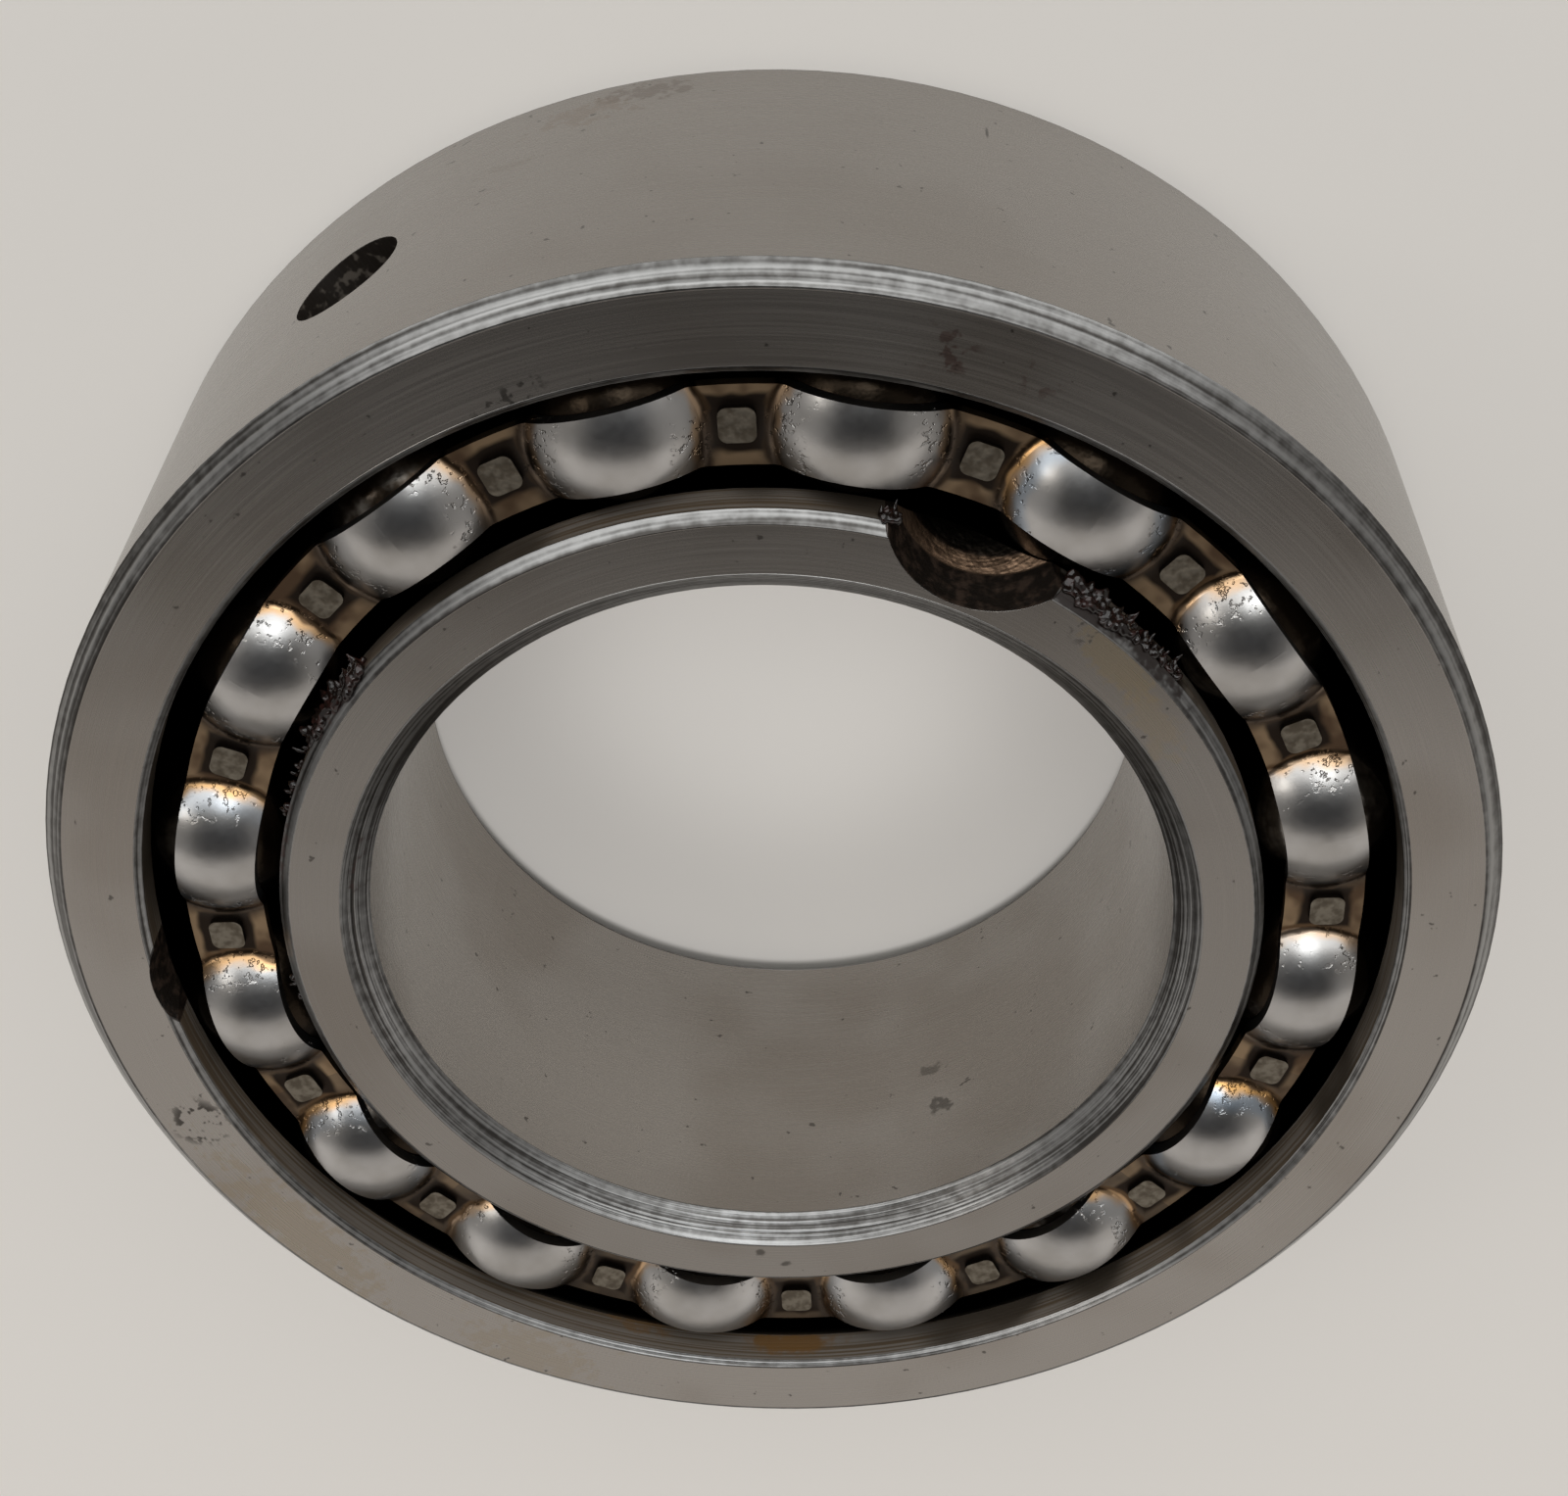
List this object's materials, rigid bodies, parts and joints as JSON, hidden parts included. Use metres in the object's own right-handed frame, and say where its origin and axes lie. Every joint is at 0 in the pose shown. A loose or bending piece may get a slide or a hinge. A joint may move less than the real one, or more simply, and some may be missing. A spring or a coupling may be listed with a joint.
{
  "type": "double row angular contact ball bearing",
  "caption": "Open double row ball bearing with domed steel cages, filling slots in one face and a blind locating hole in its rim.",
  "frame": {"origin": "centre of the plain rear face, on the bearing's axis", "axes": "+Z along the bearing's axis towards the face with the filling slots; -Y through the blind hole in the rim"},
  "size_m": [0.17, 0.17, 0.0556],
  "materials": {
    "ring_steel": "ground and lightly oiled, with stains and small nicks",
    "cage_steel": "pressed sheet, satin domes with brown heat tint at the webs",
    "ball_steel": "polished"
  },
  "bodies": {
    "outer_ring": {"outer_ring": "ring_steel"},
    "inner_ring": {"inner_ring": "ring_steel"},
    "front_cage": {"front_cage_cover": "cage_steel", "front_cage_body": "cage_steel"},
    "front_ball_01": {"front_ball_01": "ball_steel"},
    "front_ball_02": {"front_ball_02": "ball_steel"},
    "front_ball_03": {"front_ball_03": "ball_steel"},
    "front_ball_04": {"front_ball_04": "ball_steel"},
    "front_ball_05": {"front_ball_05": "ball_steel"},
    "front_ball_06": {"front_ball_06": "ball_steel"},
    "front_ball_07": {"front_ball_07": "ball_steel"},
    "front_ball_08": {"front_ball_08": "ball_steel"},
    "front_ball_09": {"front_ball_09": "ball_steel"},
    "front_ball_10": {"front_ball_10": "ball_steel"},
    "front_ball_11": {"front_ball_11": "ball_steel"},
    "front_ball_12": {"front_ball_12": "ball_steel"},
    "front_ball_13": {"front_ball_13": "ball_steel"},
    "front_ball_14": {"front_ball_14": "ball_steel"},
    "front_ball_15": {"front_ball_15": "ball_steel"},
    "front_ball_16": {"front_ball_16": "ball_steel"},
    "rear_cage": {"rear_cage_cover": "cage_steel", "rear_cage_body": "cage_steel"},
    "rear_ball_01": {"rear_ball_01": "ball_steel"},
    "rear_ball_02": {"rear_ball_02": "ball_steel"},
    "rear_ball_03": {"rear_ball_03": "ball_steel"},
    "rear_ball_04": {"rear_ball_04": "ball_steel"},
    "rear_ball_05": {"rear_ball_05": "ball_steel"},
    "rear_ball_06": {"rear_ball_06": "ball_steel"},
    "rear_ball_07": {"rear_ball_07": "ball_steel"},
    "rear_ball_08": {"rear_ball_08": "ball_steel"},
    "rear_ball_09": {"rear_ball_09": "ball_steel"},
    "rear_ball_10": {"rear_ball_10": "ball_steel"},
    "rear_ball_11": {"rear_ball_11": "ball_steel"},
    "rear_ball_12": {"rear_ball_12": "ball_steel"},
    "rear_ball_13": {"rear_ball_13": "ball_steel"},
    "rear_ball_14": {"rear_ball_14": "ball_steel"},
    "rear_ball_15": {"rear_ball_15": "ball_steel"},
    "rear_ball_16": {"rear_ball_16": "ball_steel"}
  },
  "joints": [
    {"name": "inner_ring_turn", "type": "hinge", "parent": "outer_ring", "child": "inner_ring", "pos_m": [0, 0, 0], "axis": [0, 0, 1], "continuous": true},
    {"name": "front_cage_turn", "type": "hinge", "parent": "outer_ring", "child": "front_cage", "pos_m": [0, 0, 0.0421], "axis": [0, 0, 1], "continuous": true},
    {"name": "front_ball_01_roll", "type": "hinge", "parent": "front_cage", "child": "front_ball_01", "pos_m": [0.06561, 0.00342, 0.0421], "axis": [0.4993, 0.026, 0.866], "continuous": true},
    {"name": "front_ball_02_roll", "type": "hinge", "parent": "front_cage", "child": "front_ball_02", "pos_m": [0.05931, 0.02826, 0.0421], "axis": [0.4514, 0.2151, 0.866], "continuous": true},
    {"name": "front_ball_03_roll", "type": "hinge", "parent": "front_cage", "child": "front_ball_03", "pos_m": [0.04398, 0.04881, 0.0421], "axis": [0.3347, 0.3715, 0.866], "continuous": true},
    {"name": "front_ball_04_roll", "type": "hinge", "parent": "front_cage", "child": "front_ball_04", "pos_m": [0.02195, 0.06192, 0.0421], "axis": [0.1671, 0.4713, 0.866], "continuous": true},
    {"name": "front_ball_05_roll", "type": "hinge", "parent": "front_cage", "child": "front_ball_05", "pos_m": [-0.00342, 0.06561, 0.0421], "axis": [-0.026, 0.4993, 0.866], "continuous": true},
    {"name": "front_ball_06_roll", "type": "hinge", "parent": "front_cage", "child": "front_ball_06", "pos_m": [-0.02826, 0.05931, 0.0421], "axis": [-0.2151, 0.4514, 0.866], "continuous": true},
    {"name": "front_ball_07_roll", "type": "hinge", "parent": "front_cage", "child": "front_ball_07", "pos_m": [-0.04881, 0.04398, 0.0421], "axis": [-0.3715, 0.3347, 0.866], "continuous": true},
    {"name": "front_ball_08_roll", "type": "hinge", "parent": "front_cage", "child": "front_ball_08", "pos_m": [-0.06192, 0.02195, 0.0421], "axis": [-0.4713, 0.1671, 0.866], "continuous": true},
    {"name": "front_ball_09_roll", "type": "hinge", "parent": "front_cage", "child": "front_ball_09", "pos_m": [-0.06561, -0.00342, 0.0421], "axis": [-0.4993, -0.026, 0.866], "continuous": true},
    {"name": "front_ball_10_roll", "type": "hinge", "parent": "front_cage", "child": "front_ball_10", "pos_m": [-0.05931, -0.02826, 0.0421], "axis": [-0.4514, -0.2151, 0.866], "continuous": true},
    {"name": "front_ball_11_roll", "type": "hinge", "parent": "front_cage", "child": "front_ball_11", "pos_m": [-0.04398, -0.04881, 0.0421], "axis": [-0.3347, -0.3715, 0.866], "continuous": true},
    {"name": "front_ball_12_roll", "type": "hinge", "parent": "front_cage", "child": "front_ball_12", "pos_m": [-0.02195, -0.06192, 0.0421], "axis": [-0.1671, -0.4713, 0.866], "continuous": true},
    {"name": "front_ball_13_roll", "type": "hinge", "parent": "front_cage", "child": "front_ball_13", "pos_m": [0.00342, -0.06561, 0.0421], "axis": [0.026, -0.4993, 0.866], "continuous": true},
    {"name": "front_ball_14_roll", "type": "hinge", "parent": "front_cage", "child": "front_ball_14", "pos_m": [0.02826, -0.05931, 0.0421], "axis": [0.2151, -0.4514, 0.866], "continuous": true},
    {"name": "front_ball_15_roll", "type": "hinge", "parent": "front_cage", "child": "front_ball_15", "pos_m": [0.04881, -0.04398, 0.0421], "axis": [0.3715, -0.3347, 0.866], "continuous": true},
    {"name": "front_ball_16_roll", "type": "hinge", "parent": "front_cage", "child": "front_ball_16", "pos_m": [0.06192, -0.02195, 0.0421], "axis": [0.4713, -0.1671, 0.866], "continuous": true},
    {"name": "rear_cage_turn", "type": "hinge", "parent": "outer_ring", "child": "rear_cage", "pos_m": [0, 0, 0.0135], "axis": [0, 0, 1], "continuous": true},
    {"name": "rear_ball_01_roll", "type": "hinge", "parent": "rear_cage", "child": "rear_ball_01", "pos_m": [0.06561, 0.00342, 0.0135], "axis": [-0.4993, -0.026, 0.866], "continuous": true},
    {"name": "rear_ball_02_roll", "type": "hinge", "parent": "rear_cage", "child": "rear_ball_02", "pos_m": [0.05931, 0.02826, 0.0135], "axis": [-0.4514, -0.2151, 0.866], "continuous": true},
    {"name": "rear_ball_03_roll", "type": "hinge", "parent": "rear_cage", "child": "rear_ball_03", "pos_m": [0.04398, 0.04881, 0.0135], "axis": [-0.3347, -0.3715, 0.866], "continuous": true},
    {"name": "rear_ball_04_roll", "type": "hinge", "parent": "rear_cage", "child": "rear_ball_04", "pos_m": [0.02195, 0.06192, 0.0135], "axis": [-0.1671, -0.4713, 0.866], "continuous": true},
    {"name": "rear_ball_05_roll", "type": "hinge", "parent": "rear_cage", "child": "rear_ball_05", "pos_m": [-0.00342, 0.06561, 0.0135], "axis": [0.026, -0.4993, 0.866], "continuous": true},
    {"name": "rear_ball_06_roll", "type": "hinge", "parent": "rear_cage", "child": "rear_ball_06", "pos_m": [-0.02826, 0.05931, 0.0135], "axis": [0.2151, -0.4514, 0.866], "continuous": true},
    {"name": "rear_ball_07_roll", "type": "hinge", "parent": "rear_cage", "child": "rear_ball_07", "pos_m": [-0.04881, 0.04398, 0.0135], "axis": [0.3715, -0.3347, 0.866], "continuous": true},
    {"name": "rear_ball_08_roll", "type": "hinge", "parent": "rear_cage", "child": "rear_ball_08", "pos_m": [-0.06192, 0.02195, 0.0135], "axis": [0.4713, -0.1671, 0.866], "continuous": true},
    {"name": "rear_ball_09_roll", "type": "hinge", "parent": "rear_cage", "child": "rear_ball_09", "pos_m": [-0.06561, -0.00342, 0.0135], "axis": [0.4993, 0.026, 0.866], "continuous": true},
    {"name": "rear_ball_10_roll", "type": "hinge", "parent": "rear_cage", "child": "rear_ball_10", "pos_m": [-0.05931, -0.02826, 0.0135], "axis": [0.4514, 0.2151, 0.866], "continuous": true},
    {"name": "rear_ball_11_roll", "type": "hinge", "parent": "rear_cage", "child": "rear_ball_11", "pos_m": [-0.04398, -0.04881, 0.0135], "axis": [0.3347, 0.3715, 0.866], "continuous": true},
    {"name": "rear_ball_12_roll", "type": "hinge", "parent": "rear_cage", "child": "rear_ball_12", "pos_m": [-0.02195, -0.06192, 0.0135], "axis": [0.1671, 0.4713, 0.866], "continuous": true},
    {"name": "rear_ball_13_roll", "type": "hinge", "parent": "rear_cage", "child": "rear_ball_13", "pos_m": [0.00342, -0.06561, 0.0135], "axis": [-0.026, 0.4993, 0.866], "continuous": true},
    {"name": "rear_ball_14_roll", "type": "hinge", "parent": "rear_cage", "child": "rear_ball_14", "pos_m": [0.02826, -0.05931, 0.0135], "axis": [-0.2151, 0.4514, 0.866], "continuous": true},
    {"name": "rear_ball_15_roll", "type": "hinge", "parent": "rear_cage", "child": "rear_ball_15", "pos_m": [0.04881, -0.04398, 0.0135], "axis": [-0.3715, 0.3347, 0.866], "continuous": true},
    {"name": "rear_ball_16_roll", "type": "hinge", "parent": "rear_cage", "child": "rear_ball_16", "pos_m": [0.06192, -0.02195, 0.0135], "axis": [-0.4713, 0.1671, 0.866], "continuous": true}
  ],
  "couplings": [
    {"joint": "front_cage_turn", "follows": "inner_ring_turn", "ratio": 0.42676},
    {"joint": "front_ball_01_roll", "follows": "inner_ring_turn", "ratio": -2.8927},
    {"joint": "front_ball_02_roll", "follows": "inner_ring_turn", "ratio": -2.8927},
    {"joint": "front_ball_03_roll", "follows": "inner_ring_turn", "ratio": -2.8927},
    {"joint": "front_ball_04_roll", "follows": "inner_ring_turn", "ratio": -2.8927},
    {"joint": "front_ball_05_roll", "follows": "inner_ring_turn", "ratio": -2.8927},
    {"joint": "front_ball_06_roll", "follows": "inner_ring_turn", "ratio": -2.8927},
    {"joint": "front_ball_07_roll", "follows": "inner_ring_turn", "ratio": -2.8927},
    {"joint": "front_ball_08_roll", "follows": "inner_ring_turn", "ratio": -2.8927},
    {"joint": "front_ball_09_roll", "follows": "inner_ring_turn", "ratio": -2.8927},
    {"joint": "front_ball_10_roll", "follows": "inner_ring_turn", "ratio": -2.8927},
    {"joint": "front_ball_11_roll", "follows": "inner_ring_turn", "ratio": -2.8927},
    {"joint": "front_ball_12_roll", "follows": "inner_ring_turn", "ratio": -2.8927},
    {"joint": "front_ball_13_roll", "follows": "inner_ring_turn", "ratio": -2.8927},
    {"joint": "front_ball_14_roll", "follows": "inner_ring_turn", "ratio": -2.8927},
    {"joint": "front_ball_15_roll", "follows": "inner_ring_turn", "ratio": -2.8927},
    {"joint": "front_ball_16_roll", "follows": "inner_ring_turn", "ratio": -2.8927},
    {"joint": "rear_cage_turn", "follows": "inner_ring_turn", "ratio": 0.42676},
    {"joint": "rear_ball_01_roll", "follows": "inner_ring_turn", "ratio": -2.8927},
    {"joint": "rear_ball_02_roll", "follows": "inner_ring_turn", "ratio": -2.8927},
    {"joint": "rear_ball_03_roll", "follows": "inner_ring_turn", "ratio": -2.8927},
    {"joint": "rear_ball_04_roll", "follows": "inner_ring_turn", "ratio": -2.8927},
    {"joint": "rear_ball_05_roll", "follows": "inner_ring_turn", "ratio": -2.8927},
    {"joint": "rear_ball_06_roll", "follows": "inner_ring_turn", "ratio": -2.8927},
    {"joint": "rear_ball_07_roll", "follows": "inner_ring_turn", "ratio": -2.8927},
    {"joint": "rear_ball_08_roll", "follows": "inner_ring_turn", "ratio": -2.8927},
    {"joint": "rear_ball_09_roll", "follows": "inner_ring_turn", "ratio": -2.8927},
    {"joint": "rear_ball_10_roll", "follows": "inner_ring_turn", "ratio": -2.8927},
    {"joint": "rear_ball_11_roll", "follows": "inner_ring_turn", "ratio": -2.8927},
    {"joint": "rear_ball_12_roll", "follows": "inner_ring_turn", "ratio": -2.8927},
    {"joint": "rear_ball_13_roll", "follows": "inner_ring_turn", "ratio": -2.8927},
    {"joint": "rear_ball_14_roll", "follows": "inner_ring_turn", "ratio": -2.8927},
    {"joint": "rear_ball_15_roll", "follows": "inner_ring_turn", "ratio": -2.8927},
    {"joint": "rear_ball_16_roll", "follows": "inner_ring_turn", "ratio": -2.8927}
  ]
}
